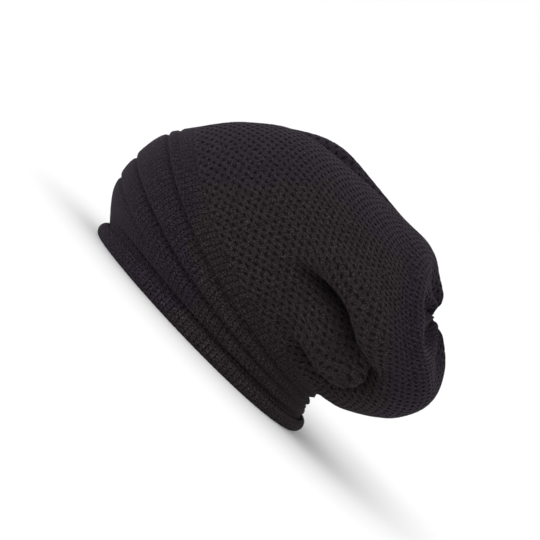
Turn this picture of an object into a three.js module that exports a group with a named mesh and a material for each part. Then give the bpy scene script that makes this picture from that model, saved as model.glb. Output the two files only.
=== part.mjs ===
// A slouchy knitted beanie standing on its rolled brim.
// Units are millimetres, +Z is up, -X is the forehead and +X the slouch that hangs past the nape.
// Rings run round the hat, each through a front point and a rear point of the side outline.
// The rings fan from the level brim to the gathered top, and tucks and folds press the knit in.
import * as THREE from 'three';

// Driving dimensions
const BRIM_LENGTH = 202; // forehead to nape, outside the lower edge of the band
const BRIM_WIDTH = 164; // temple to temple, outside the same edge
const HEM_DIAMETER = 11; // the rolled edge, seen from its end
const HEM_KNIT = 2.6; // thickness of the knit inside the roll
const HEM_INSET = 0.4; // from the band's outside edge in to the middle of the roll
const BAND_RISE_FRONT = 97; // plain band, brim to the change of stitch, at the forehead
const BAND_RISE_NAPE = 23; // the same at the nape, where the band is pushed together
const CROWN_HEIGHT = 170; // surface to the top of the crown
const CROWN_WIDTH = 198; // across the widest ring of the crown
const SLOUCH_REACH = 60; // how far the bag hangs past the nape
const KNIT_THICKNESS = 3; // the crown's single layer
const BAND_THICKNESS = 5.2; // the tucked band, where the knit lies double
const TUCK_DEPTH = 3.6; // deepest groove between two tucks of the band
const TUCK_WIDTH = 4.2; // half the width of such a groove
const CREASE_DEPTH = 15; // the deep crease in the near side of the crown
const CREASE_WIDTH = 10; // half the width of that crease
const PLEAT_DEPTH = 3.5; // the radial pleats round the gathered top
const PIECE_GAP = 0.3; // clearance between neighbouring pieces

// Shapes of a crease and of the gathered end
const VALLEY_PLACE = 0.4; // how far the valley lies before the crease's line, share of the crease's width
const SOFT_SIDE = 1.3; // how wide the knit slopes down into the valley, share of the crease's width
const STEEP_SIDE = 0.7; // the same beside the line, where the knit turns back up
const RIDGE_HEIGHT = 0.25; // the low ridge behind a crease, share of its depth
const RIDGE_PLACE = 1.3; // how far behind the line that ridge lies, share of the crease's width
const LIP_PLACE = 0.9; // the same for the leaning lip
const PLEAT_FADE = 0.8; // share of a half wave over which the pleats rise and fade
const GATHER_MIDDLE = 0.55; // how wide the puckered middle is, share of the crown's last ring

const PLEATS = 9;
const GATHER_PUFF = 0.8; // how far the drawn-in end puckers out round its middle
const GATHER_EASE = 1.6; // pleats slant the gap round the gather, so it is measured wider
const NEAR_COLUMNS = 36; // facets round the near half, which holds the creases
const FAR_COLUMNS = 26;
const HEM_STEP_DEG = 40; // one facet of the roll
const HEM_START_DEG = 130; // the roll starts at its inner top, under the band
const HEM_FACETS = 7;
const TUCK_ROWS = 3; // facets from one tuck line to the next
const BAND_INNER_ROWS = 6;
const FIRST_CROWN_RING = 4;
const FOLDS_FULL_RING = 4.8; // creases and swellings fade in from the first ring up to here
const FIRST_PLEAT_RING = 9;
const LAST_CROWN_RING = 12;
const TIP_RING = 13;

const HEM_RADIUS = HEM_DIAMETER / 2;
const HEM_CENTRE_Z = HEM_RADIUS * Math.cos(THREE.MathUtils.degToRad(HEM_STEP_DEG / 2));
const HEM_TOP_Z = HEM_CENTRE_Z + HEM_RADIUS * Math.sin(THREE.MathUtils.degToRad(HEM_START_DEG));
const BAND_FOOT_Z = HEM_TOP_Z + PIECE_GAP;

// Rings, from the brim to the gathered top.
// ahead: front point behind the forehead, share of BRIM_LENGTH
// frontRise, rearRise: 0 brim, 1 top of the band, 2 top of the crown
// reach: rear point past the nape, share of SLOUCH_REACH
// wide: share of CROWN_WIDTH, except the brim's, which is BRIM_WIDTH
// egg: how much the ring narrows at its front point
// sag: how far the ring's sides dip below its plane, share of BAND_RISE_FRONT
const RINGS = [
  { name: 'brim', ahead: 0.0, frontRise: 0.0, reach: 0.0, rearRise: 0.0, wide: 0.83, egg: 0.18, sag: 0.0 },
  { name: 'low band', ahead: -0.09, frontRise: 0.24, reach: -0.02, rearRise: 0.25, wide: 0.9, egg: 0.15, sag: 0.06 },
  { name: 'mid band', ahead: -0.116, frontRise: 0.5, reach: -0.04, rearRise: 0.5, wide: 0.935, egg: 0.12, sag: 0.09 },
  { name: 'high band', ahead: -0.1, frontRise: 0.78, reach: -0.06, rearRise: 0.78, wide: 0.955, egg: 0.08, sag: 0.1 },
  { name: 'stitch change', ahead: -0.035, frontRise: 1.0, reach: -0.05, rearRise: 1.0, wide: 0.97, egg: 0.06, sag: 0.11 },
  { name: 'front crown', ahead: 0.085, frontRise: 1.47, reach: 0.08, rearRise: 1.01, wide: 0.985, egg: 0.04, sag: 0.06 },
  { name: 'rising top', ahead: 0.272, frontRise: 1.86, reach: 0.28, rearRise: 1.035, wide: 1.0, egg: 0.02, sag: 0.0 },
  { name: 'middle', ahead: 0.55, frontRise: 1.98, reach: 0.6, rearRise: 1.12, wide: 0.98, egg: 0.0, sag: 0.0 },
  { name: 'bag', ahead: 0.775, frontRise: 1.99, reach: 0.83, rearRise: 1.225, wide: 0.92, egg: 0.0, sag: 0.0 },
  { name: 'back of the bag', ahead: 0.9, frontRise: 1.96, reach: 0.95, rearRise: 1.39, wide: 0.78, egg: 0.0, sag: 0.06 },
  { name: 'drawn in', ahead: 0.99, frontRise: 1.75, reach: 0.8, rearRise: 1.55, wide: 0.5, egg: 0.0, sag: 0.13 },
  { name: 'gathering', ahead: 1.04, frontRise: 1.62, reach: 0.52, rearRise: 1.66, wide: 0.24, egg: 0.0, sag: 0.07 },
  { name: 'gather edge', ahead: 1.05, frontRise: 1.51, reach: 0.33, rearRise: 1.69, wide: 0.09, egg: 0.0, sag: 0.04 },
  { name: 'tip', ahead: 1.028, frontRise: 1.457, reach: 0.12, rearRise: 1.738, wide: 0.01, egg: 0.0, sag: 0.0 },
];

// Tuck lines of the band, from the brim to the change of stitch.
// front, side, rear: height as share of the band's rise there
// deepFront, deepSide, deepRear: share of TUCK_DEPTH
const TUCKS = [
  { name: 'brim edge', front: 0.0, side: 0.0, rear: 0.0, deepFront: 0, deepSide: 0, deepRear: 0 },
  { name: 'low tuck', front: 0.11, side: 0.14, rear: 0.17, deepFront: 0.8, deepSide: 0, deepRear: 0.2 },
  { name: 'second tuck', front: 0.34, side: 0.28, rear: 0.34, deepFront: 0.6, deepSide: 0, deepRear: 0.4 },
  { name: 'middle tuck', front: 0.53, side: 0.46, rear: 0.5, deepFront: 0.6, deepSide: 1, deepRear: 0.4 },
  { name: 'upper tuck', front: 0.76, side: 0.74, rear: 0.77, deepFront: 0.5, deepSide: 1, deepRear: 0.6 },
  { name: 'last tuck', front: 0.89, side: 0.88, rear: 0.89, deepFront: 0.4, deepSide: 0.2, deepRear: 0.2 },
  { name: 'stitch change', front: 1.0, side: 1.0, rear: 1.0, deepFront: 0, deepSide: 0, deepRear: 0 },
];

// Creases of the crown, each along points [ring, angle in degrees, strength].
// Angle 0 is the front or top of a ring, 90 its near side, 180 its rear or bottom, 270 its far side.
// deep: share of CREASE_DEPTH, wide: share of CREASE_WIDTH
// lip: how far the fabric behind the crease leans over it, share of CREASE_DEPTH
const CREASES = [
  {
    name: 'deep near crease', deep: 1.0, wide: 1.0, lip: 0.1,
    points: [[5.35, 88, 0.1], [5.75, 90, 0.4], [6.15, 93, 0.9], [6.43, 99, 1], [6.6, 107, 1], [6.75, 115, 0.8], [6.87, 122, 0.2]],
  },
  {
    name: 'crease under the pouch', deep: 0.5, wide: 0.9, lip: 0.0,
    points: [[4.9, 119, 0.1], [5.3, 124, 0.6], [5.7, 130, 1], [6.1, 134, 1], [6.45, 132, 0.6], [6.75, 128, 0.2], [6.95, 124, 0.1]],
  },
  {
    name: 'soft back valley', deep: 0.35, wide: 1.3, lip: 0.0,
    points: [[7.9, 20, 0.2], [8.3, 50, 0.9], [8.6, 80, 1], [8.7, 110, 0.8], [8.6, 140, 0.2]],
  },
  {
    name: 'valley along the top', deep: 0.5, wide: 0.9, lip: 0.0,
    points: [[5.9, 352, 0.2], [6.5, 352, 1], [7.1, 352, 1], [7.8, 350, 0.2]],
  },
  {
    name: 'far crease', deep: 0.8, wide: 1.2, lip: 0.2,
    points: [[6.4, 285, 0.1], [6.8, 270, 0.8], [7.0, 250, 1], [7.3, 225, 0.8], [7.5, 205, 0.2]],
  },
];

// Round swellings of the crown: ring and angle of the middle, radius and height as shares of CREASE_DEPTH.
const SWELLINGS = [
  { name: 'near pouch', ring: 5.8, angle: 116, radius: 1.4, height: 0.5 },
  { name: 'far top lobe', ring: 6.35, angle: 334, radius: 2.2, height: 0.6 },
  { name: 'lower back lobe', ring: 8.9, angle: 150, radius: 2.0, height: 0.25 },
];

// Rings at which the crown's facets are set, closer together where the creases lie.
const CROWN_ROWS = [
  4.0, 4.45, 4.9, 5.3, 5.65, 5.95, 6.2, 6.45, 6.7, 6.9, 7.1, 7.3, 7.55, 7.85, 8.2, 8.6, 9.0, 9.4, 9.8, 10.3,
  10.9, 11.5, 12.0,
];

const mix = (a, b, t) => a + (b - a) * t;
const bell = (distance, width) => Math.exp(-((distance / width) ** 2));

// A value of the ring table at any ring number, on a curve through the rows.
function ringValue(position, read) {
  const last = RINGS.length - 1;
  const row = Math.min(Math.max(Math.floor(position), 0), last - 1);
  const t = position - row;
  const [before, from, to, after] = [row - 1, row, row + 1, row + 2]
    .map((index) => Math.min(Math.max(index, 0), last))
    .map((index) => read(RINGS[index], index));
  const tangentFrom = (to - before) / 2;
  const tangentTo = (after - from) / 2;
  const rest = to - from;
  return (
    from + tangentFrom * t + (3 * rest - 2 * tangentFrom - tangentTo) * t ** 2
    + (tangentFrom + tangentTo - 2 * rest) * t ** 3
  );
}

// Height above the surface of a rise of 0 to 2, where the band's own rise is given.
function heightOf(rise, bandRise) {
  const bandTop = BAND_FOOT_Z + bandRise;
  return rise <= 1 ? mix(BAND_FOOT_Z, bandTop, rise) : mix(bandTop, CROWN_HEIGHT, rise - 1);
}

// The smooth hat without tucks or folds, at a ring number and an angle in radians.
function plainPoint(position, angle) {
  const half = BRIM_LENGTH / 2;
  const frontX = ringValue(position, (row) => -half + row.ahead * BRIM_LENGTH);
  const frontZ = ringValue(position, (row) => heightOf(row.frontRise, BAND_RISE_FRONT));
  const rearX = ringValue(position, (row) => half + row.reach * SLOUCH_REACH);
  const rearZ = ringValue(position, (row) => heightOf(row.rearRise, BAND_RISE_NAPE));
  const width = ringValue(position, (row, index) => (index === 0 ? BRIM_WIDTH : row.wide * CROWN_WIDTH));
  const egg = ringValue(position, (row) => row.egg);
  const sag = ringValue(position, (row) => row.sag * BAND_RISE_FRONT);
  const cos = Math.cos(angle);
  const sin = Math.sin(angle);
  const alongX = (frontX - rearX) / 2;
  const alongZ = (frontZ - rearZ) / 2;
  const along = Math.hypot(alongX, alongZ);
  const dip = sag * sin * sin * (1 + cos / 2);
  return new THREE.Vector3(
    (frontX + rearX) / 2 + alongX * cos - (dip * alongZ) / along,
    (-width / 2) * sin * (1 - egg * cos),
    (frontZ + rearZ) / 2 + alongZ * cos + (dip * alongX) / along,
  );
}

// The outward normal of any surface given as a function of ring number and angle.
function normalOf(surface, position, angle) {
  const ringStep = 0.01;
  const angleStep = 0.004;
  const low = Math.max(position - ringStep, 0);
  const high = Math.min(position + ringStep, TIP_RING);
  const up = surface(high, angle).sub(surface(low, angle));
  const round = surface(position, angle + angleStep).sub(surface(position, angle - angleStep));
  return up.cross(round).normalize().negate();
}

// A crease as short straight steps on the plain hat, each with its strength.
function creaseSteps(crease) {
  const path = new THREE.CatmullRomCurve3(crease.points.map((point) => new THREE.Vector3(...point)));
  const steps = 6 * (crease.points.length - 1);
  return path.getPoints(steps).map((point) => ({
    place: plainPoint(point.x, THREE.MathUtils.degToRad(point.y)),
    strength: point.z,
  }));
}

const creaseRoutes = CREASES.map((crease) => ({ ...crease, steps: creaseSteps(crease) }));
const swellingPlaces = SWELLINGS.map((swelling) => ({
  ...swelling,
  place: plainPoint(swelling.ring, THREE.MathUtils.degToRad(swelling.angle)),
}));

// What one crease adds at a point: it presses the knit in and leans the far lip over.
function creaseShift(route, point, normal) {
  let nearest = null;
  for (let index = 0; index + 1 < route.steps.length; index += 1) {
    const from = route.steps[index];
    const to = route.steps[index + 1];
    const step = to.place.clone().sub(from.place);
    const share = THREE.MathUtils.clamp(point.clone().sub(from.place).dot(step) / step.lengthSq(), 0, 1);
    const offset = point.clone().sub(from.place.clone().addScaledVector(step, share));
    if (nearest === null || offset.lengthSq() < nearest.offset.lengthSq()) {
      nearest = { offset, step, strength: mix(from.strength, to.strength, share) };
    }
  }
  const side = normal.clone().cross(nearest.step).normalize();
  const across = nearest.offset.dot(side);
  const beside = Math.sqrt(Math.max(nearest.offset.lengthSq() - across * across, 0));
  const width = route.wide * CREASE_WIDTH;
  const strength = nearest.strength * bell(beside, width);
  const depth = route.deep * CREASE_DEPTH * strength;
  const past = across + VALLEY_PLACE * width;
  const valley = bell(past, (past < 0 ? SOFT_SIDE : STEEP_SIDE) * width);
  const ridge = RIDGE_HEIGHT * bell(across - RIDGE_PLACE * width, width);
  const press = depth * (ridge - valley);
  const lean = -route.lip * CREASE_DEPTH * strength * bell(across - LIP_PLACE * width, LIP_PLACE * width);
  return normal.clone().multiplyScalar(press).addScaledVector(side, lean);
}

// Pleats that gather the knit towards the tip.
function pleatHeight(position, angle) {
  const span = LAST_CROWN_RING - FIRST_PLEAT_RING;
  const share = THREE.MathUtils.clamp((position - FIRST_PLEAT_RING) / span, 0, 1);
  const fade = Math.sin(Math.PI * PLEAT_FADE * share);
  return PLEAT_DEPTH * fade * Math.cos(PLEATS * angle);
}

// The outside of the crown, with its creases, swellings and pleats.
function crownPoint(position, angle) {
  const point = plainPoint(position, angle);
  const normal = normalOf(plainPoint, position, angle);
  const result = point.clone().addScaledVector(normal, pleatHeight(position, angle));
  const easeIn = THREE.MathUtils.smoothstep(position, FIRST_CROWN_RING, FOLDS_FULL_RING);
  for (const route of creaseRoutes) {
    result.addScaledVector(creaseShift(route, point, normal), easeIn);
  }
  for (const swelling of swellingPlaces) {
    const reach = bell(point.distanceTo(swelling.place), swelling.radius * CREASE_DEPTH);
    result.addScaledVector(normal, easeIn * swelling.height * CREASE_DEPTH * reach);
  }
  return result;
}

// A value that is given at the front, side and rear of a ring, at any angle.
function roundValue(front, side, rear, angle) {
  const cos = Math.cos(angle);
  return side + ((front - rear) / 2) * cos + ((front + rear) / 2 - side) * cos * cos;
}

const tuckShare = (tuck, angle) => roundValue(tuck.front, tuck.side, tuck.rear, angle);
const tuckDepth = (tuck, angle) => (
  TUCK_DEPTH * Math.max(roundValue(tuck.deepFront, tuck.deepSide, tuck.deepRear, angle), 0)
);

// The outside of the band, with its tucks pressed in. The position runs 0 to FIRST_CROWN_RING.
function bandPoint(position, angle) {
  const share = position / FIRST_CROWN_RING;
  const sideRise = (BAND_RISE_FRONT + BAND_RISE_NAPE) / 2;
  const rise = roundValue(BAND_RISE_FRONT, sideRise, BAND_RISE_NAPE, angle);
  let depth = 0;
  for (const tuck of TUCKS) {
    depth = Math.max(depth, tuckDepth(tuck, angle) * bell((share - tuckShare(tuck, angle)) * rise, TUCK_WIDTH));
  }
  return plainPoint(position, angle).addScaledVector(normalOf(plainPoint, position, angle), -depth);
}

// Angles of the columns, with narrower facets round the near half.
function columnAngles(nearCount, farCount) {
  const angles = [];
  for (let index = 0; index < nearCount; index += 1) angles.push((Math.PI * index) / nearCount);
  for (let index = 0; index < farCount; index += 1) angles.push(Math.PI * (1 + index / farCount));
  return angles;
}

// Closed geometry from rows of points that all run round the hat the same way.
// With wraps, the last row joins the first, and otherwise both end rows are closed with a centre point.
// Rows from the turned one on run back along the inside, so their facets take the other diagonal.
function skin(rows, wraps, turned = rows.length) {
  const columns = rows[0].length;
  const points = rows.flat();
  const faces = [];
  const rowPairs = wraps ? rows.length : rows.length - 1;
  for (let row = 0; row < rowPairs; row += 1) {
    const here = row * columns;
    const next = ((row + 1) % rows.length) * columns;
    for (let column = 0; column < columns; column += 1) {
      const side = (column + 1) % columns;
      if (row < turned) {
        faces.push(here + column, here + side, next + side);
        faces.push(here + column, next + side, next + column);
      } else {
        faces.push(here + column, here + side, next + column);
        faces.push(here + side, next + side, next + column);
      }
    }
  }
  if (!wraps) {
    const capRow = (row, flip) => {
      const centre = points.length;
      const middle = new THREE.Vector3();
      for (const point of rows[row]) middle.addScaledVector(point, 1 / columns);
      points.push(middle);
      for (let column = 0; column < columns; column += 1) {
        const here = row * columns + column;
        const side = row * columns + ((column + 1) % columns);
        faces.push(...(flip ? [centre, side, here] : [centre, here, side]));
      }
    };
    capRow(0, true);
    capRow(rows.length - 1, false);
  }
  const geometry = new THREE.BufferGeometry();
  geometry.setAttribute('position', new THREE.Float32BufferAttribute(points.flatMap((p) => p.toArray()), 3));
  geometry.setIndex(faces);
  geometry.computeVertexNormals();
  return geometry;
}

// The rolled edge: a strip of knit that curls out and up, flat where it rests.
function hemGeometry(angles) {
  const brimOutward = (angle) => {
    const normal = normalOf(plainPoint, 0, angle);
    return normal.setZ(0).normalize();
  };
  const rowAt = (radius, degrees) => angles.map((angle) => {
    const turn = THREE.MathUtils.degToRad(degrees);
    const point = plainPoint(0, angle);
    point.addScaledVector(brimOutward(angle), radius * Math.cos(turn) - HEM_INSET);
    return point.setZ(HEM_CENTRE_Z + radius * Math.sin(turn));
  });
  const turns = Array.from({ length: HEM_FACETS + 1 }, (_, index) => HEM_START_DEG + index * HEM_STEP_DEG);
  const outside = turns.map((turn) => rowAt(HEM_RADIUS, turn));
  const inside = turns.map((turn) => rowAt(HEM_RADIUS - HEM_KNIT, turn)).reverse();
  return skin([...outside, ...inside], true, outside.length);
}

function bandGeometry(angles) {
  const outside = [];
  for (let line = 0; line + 1 < TUCKS.length; line += 1) {
    const isLast = line + 2 === TUCKS.length;
    for (let step = 0; step < TUCK_ROWS + (isLast ? 1 : 0); step += 1) {
      outside.push(angles.map((angle) => {
        const share = mix(tuckShare(TUCKS[line], angle), tuckShare(TUCKS[line + 1], angle), step / TUCK_ROWS);
        return bandPoint(share * FIRST_CROWN_RING, angle);
      }));
    }
  }
  const inside = [];
  for (let step = 0; step <= BAND_INNER_ROWS; step += 1) {
    const position = (FIRST_CROWN_RING * step) / BAND_INNER_ROWS;
    const fade = Math.sin((Math.PI * step) / BAND_INNER_ROWS);
    const thickness = mix(KNIT_THICKNESS, BAND_THICKNESS, fade ** 0.5);
    inside.unshift(angles.map((angle) => (
      plainPoint(position, angle).addScaledVector(normalOf(plainPoint, position, angle), -thickness)
    )));
  }
  return skin([...outside, ...inside], true, outside.length);
}

// The ring number that lies a distance further along the knit, so that pieces keep their gap.
function shiftedPosition(position, angle, distance) {
  const step = 0.02;
  return position + (distance * step) / plainPoint(position + step, angle).distanceTo(plainPoint(position, angle));
}

// One layer of knit, from the gap above the band to the gathered end.
function crownGeometry(angles) {
  const placed = CROWN_ROWS.map((position, row) => angles.map((angle) => (
    { angle, position: row === 0 ? shiftedPosition(position, angle, PIECE_GAP) : position }
  )));
  const outside = placed.map((row) => row.map(({ position, angle }) => crownPoint(position, angle)));
  const inside = placed.map((row) => row.map(({ position, angle }) => (
    crownPoint(position, angle).addScaledVector(normalOf(plainPoint, position, angle), -KNIT_THICKNESS)
  ))).reverse();
  return skin([...outside, ...inside], true, outside.length);
}

// The drawn-together end of the knit: a puckered plug that fills the crown's last ring.
function gatherGeometry(angles) {
  const edgeRow = (depth) => angles.map((angle) => (
    crownPoint(LAST_CROWN_RING, angle).addScaledVector(normalOf(plainPoint, LAST_CROWN_RING, angle), -depth)
  ));
  const shrunk = (row, distance, share) => {
    const middle = new THREE.Vector3();
    for (const point of row) middle.addScaledVector(point, 1 / row.length);
    return row.map((point) => {
      const spoke = point.clone().sub(middle);
      return middle.clone().addScaledVector(spoke, share * (1 - distance / spoke.length()));
    });
  };
  const rim = PIECE_GAP * GATHER_EASE;
  const rows = [
    shrunk(edgeRow(KNIT_THICKNESS), rim, 1),
    shrunk(edgeRow(0), rim, 1),
    shrunk(edgeRow(-GATHER_PUFF), rim, GATHER_MIDDLE),
  ];
  return skin(rows, false);
}

function knitMaterial(colour, roughness) {
  return new THREE.MeshStandardMaterial({ color: colour, roughness, metalness: 0 });
}

function pieceMesh(name, geometry, material) {
  const mesh = new THREE.Mesh(geometry, material);
  mesh.name = name;
  return mesh;
}

const columns = columnAngles(NEAR_COLUMNS, FAR_COLUMNS);
const plainKnit = knitMaterial(0x272225, 0.95);
const openKnit = knitMaterial(0x262223, 0.97);

const beanie = new THREE.Group();
beanie.add(
  pieceMesh('rolled_hem', hemGeometry(columns), plainKnit),
  pieceMesh('tucked_band', bandGeometry(columns), plainKnit.clone()),
  pieceMesh('slouch_crown', crownGeometry(columns), openKnit),
  pieceMesh('top_gather', gatherGeometry(columns), openKnit.clone()),
);

// The origin is the middle of the footprint, on the surface that the hat stands on.
const extent = new THREE.Box3().setFromObject(beanie);
beanie.position.set(-(extent.min.x + extent.max.x) / 2, -(extent.min.y + extent.max.y) / 2, -extent.min.z);
beanie.updateMatrixWorld(true);

export default beanie;
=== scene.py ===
"""A slouchy knitted beanie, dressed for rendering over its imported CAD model.

The hat is one knitted tube. A ring table gives its smooth form from the level brim to the drawn-in
end, and tucks, creases and swellings fold the knit. The shape is worked out in millimetres with the
brim's middle at x = 0 and y = 0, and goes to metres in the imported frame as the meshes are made.
"""
import logging
import math
from dataclasses import dataclass, field
from enum import Enum
from typing import Callable

import bpy
import numpy as np
from mathutils import Matrix, Vector


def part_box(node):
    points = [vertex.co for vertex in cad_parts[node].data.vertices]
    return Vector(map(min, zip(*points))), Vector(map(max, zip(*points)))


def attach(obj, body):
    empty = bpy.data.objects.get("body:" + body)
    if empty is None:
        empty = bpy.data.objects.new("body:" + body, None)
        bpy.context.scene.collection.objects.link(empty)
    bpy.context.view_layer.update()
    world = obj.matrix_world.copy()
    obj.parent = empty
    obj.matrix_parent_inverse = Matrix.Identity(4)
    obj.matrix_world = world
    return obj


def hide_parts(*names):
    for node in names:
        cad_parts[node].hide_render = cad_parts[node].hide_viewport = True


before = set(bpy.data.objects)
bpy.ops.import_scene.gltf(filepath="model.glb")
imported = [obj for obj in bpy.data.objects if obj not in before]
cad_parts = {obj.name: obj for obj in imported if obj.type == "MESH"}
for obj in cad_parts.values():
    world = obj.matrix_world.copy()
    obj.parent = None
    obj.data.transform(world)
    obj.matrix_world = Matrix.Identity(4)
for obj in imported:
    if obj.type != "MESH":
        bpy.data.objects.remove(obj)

log = logging.getLogger("beanie")
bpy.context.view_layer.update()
MM = 0.001
TURN = 2 * math.pi
# Small steps in ring number and in radians, from which a normal is worked out.
RING_NUDGE = 0.01
ANGLE_NUDGE = 0.004
# Steps in which the length of the knit is measured.
FINE_STEPS = 240


@dataclass(frozen=True)
class Ring:
    """One ring of the hat, given by shares of the hat's named sizes.

    Args:
        name: What the ring is.
        ahead: Front point behind the forehead, share of the brim's length.
        front_rise: Height at the front, 0 at the brim, 1 at the band's top, 2 at the crown's top.
        reach: Rear point past the nape, share of the slouch's reach.
        rear_rise: The same as front_rise, at the rear.
        wide: Share of the crown's width, except at the brim.
        egg: How much the ring narrows at its front.
        sag: How far its sides dip below its plane, share of the band's rise at the front.
    """

    name: str
    ahead: float
    front_rise: float
    reach: float
    rear_rise: float
    wide: float
    egg: float
    sag: float


@dataclass(frozen=True)
class Tuck:
    """A tuck line of the band: its height as shares of the band's rise, and its depth as shares.

    Args:
        name: Which line it is.
        front: Height at the forehead.
        side: Height at the temples.
        rear: Height at the nape.
        deep_front: Depth at the forehead.
        deep_side: Depth at the temples.
        deep_rear: Depth at the nape.
    """

    name: str
    front: float
    side: float
    rear: float
    deep_front: float
    deep_side: float
    deep_rear: float


@dataclass(frozen=True)
class Crease:
    """A fold pressed into the crown along points of ring number, angle in degrees and strength.

    Args:
        name: What the fold is.
        deep: Share of the crease depth.
        wide: Share of the crease width.
        lip: How far the knit behind it leans over it, share of the crease depth.
        points: The fold's route.
    """

    name: str
    deep: float
    wide: float
    lip: float
    points: tuple[tuple[float, float, float], ...]


@dataclass(frozen=True)
class Swelling:
    """A round bulge of the crown, its radius and height as shares of the crease depth.

    Args:
        name: What bulges.
        ring: Ring number of its middle.
        angle: Angle of its middle in degrees.
        radius: Radius share.
        height: Height share.
    """

    name: str
    ring: float
    angle: float
    radius: float
    height: float


RINGS = (
    Ring("brim", 0.0, 0.0, 0.0, 0.0, 0.83, 0.18, 0.0),
    Ring("low band", -0.09, 0.24, -0.02, 0.25, 0.9, 0.15, 0.06),
    Ring("mid band", -0.116, 0.5, -0.04, 0.5, 0.935, 0.12, 0.09),
    Ring("high band", -0.1, 0.78, -0.06, 0.78, 0.955, 0.08, 0.1),
    Ring("stitch change", -0.035, 1.0, -0.05, 1.0, 0.97, 0.06, 0.11),
    Ring("front crown", 0.085, 1.47, 0.08, 1.01, 0.985, 0.04, 0.06),
    Ring("rising top", 0.272, 1.86, 0.28, 1.035, 1.0, 0.02, 0.0),
    Ring("middle", 0.55, 1.98, 0.6, 1.12, 0.98, 0.0, 0.0),
    Ring("bag", 0.775, 1.99, 0.83, 1.225, 0.92, 0.0, 0.0),
    Ring("back of the bag", 0.9, 1.96, 0.95, 1.39, 0.78, 0.0, 0.06),
    Ring("drawn in", 0.99, 1.75, 0.8, 1.55, 0.5, 0.0, 0.13),
    Ring("gathering", 1.04, 1.62, 0.52, 1.66, 0.24, 0.0, 0.07),
    Ring("gather edge", 1.05, 1.51, 0.33, 1.69, 0.09, 0.0, 0.04),
    Ring("tip", 1.028, 1.457, 0.12, 1.738, 0.01, 0.0, 0.0),
)

TUCKS = (
    Tuck("brim edge", 0.0, 0.0, 0.0, 0.0, 0.0, 0.0),
    Tuck("low tuck", 0.1, 0.16, 0.09, 0.0, 1.3, 0.5),
    Tuck("second tuck", 0.34, 0.3, 0.34, 0.5, 0.0, 0.4),
    Tuck("middle tuck", 0.52, 0.48, 0.45, 0.5, 1.6, 0.7),
    Tuck("upper tuck", 0.8, 0.735, 0.68, 0.5, 1.8, 0.9),
    Tuck("last tuck", 0.9, 0.86, 0.88, 0.3, 0.3, 0.2),
    Tuck("stitch change", 1.0, 1.0, 1.0, 0.0, 0.0, 0.0),
)

CREASES = (
    Crease(
        "deep near crease", 1.75, 1.0, 0.6,
        (
            (5.5, 86, 0.1), (5.9, 86, 0.5), (6.22, 87, 0.85), (6.5, 90, 1),
            (6.68, 94.5, 1.05), (6.78, 100, 1.1), (6.9, 109, 1), (7.0, 117, 0.4),
        ),
    ),
    Crease(
        "crease under the pouch", 1.2, 0.85, 0.7,
        (
            (4.8, 117, 0.1), (5.25, 122, 0.5), (5.7, 130, 0.9), (6.1, 135, 1),
            (6.5, 133, 1), (6.8, 128, 0.8), (7.05, 121, 0.2),
        ),
    ),
    Crease(
        "soft back valley", 0.35, 1.3, 0.0,
        ((7.9, 20, 0.2), (8.3, 50, 0.9), (8.6, 80, 1), (8.7, 110, 0.8), (8.6, 140, 0.2)),
    ),
    Crease(
        "valley along the top", 0.6, 0.9, 0.0,
        ((5.9, 352, 0.2), (6.5, 352, 1), (7.1, 352, 1), (7.8, 350, 0.2)),
    ),
    Crease(
        "far crease", 0.8, 1.2, 0.4,
        ((6.4, 285, 0.1), (6.8, 270, 0.8), (7.0, 250, 1), (7.3, 225, 0.8), (7.5, 205, 0.2)),
    ),
)

SWELLINGS = (
    Swelling("near pouch", 6.0, 116, 1.4, 0.55),
    Swelling("far top lobe", 6.35, 334, 2.2, 0.6),
    Swelling("lower back lobe", 8.9, 150, 2.0, 0.25),
)


def bell(distance: np.ndarray, width: float | np.ndarray) -> np.ndarray:
    """A smooth hump that is 1 at no distance and fades over the width."""
    return np.exp(-((distance / width) ** 2))


def smooth_step(value: np.ndarray, low: float, high: float) -> np.ndarray:
    """0 below low, 1 above high, and smooth between them."""
    share = np.clip((value - low) / (high - low), 0.0, 1.0)
    return share * share * (3 - 2 * share)


def unit(vectors: np.ndarray) -> np.ndarray:
    """The vectors at length 1."""
    return vectors / np.maximum(np.linalg.norm(vectors, axis=-1, keepdims=True), 1e-9)


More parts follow.
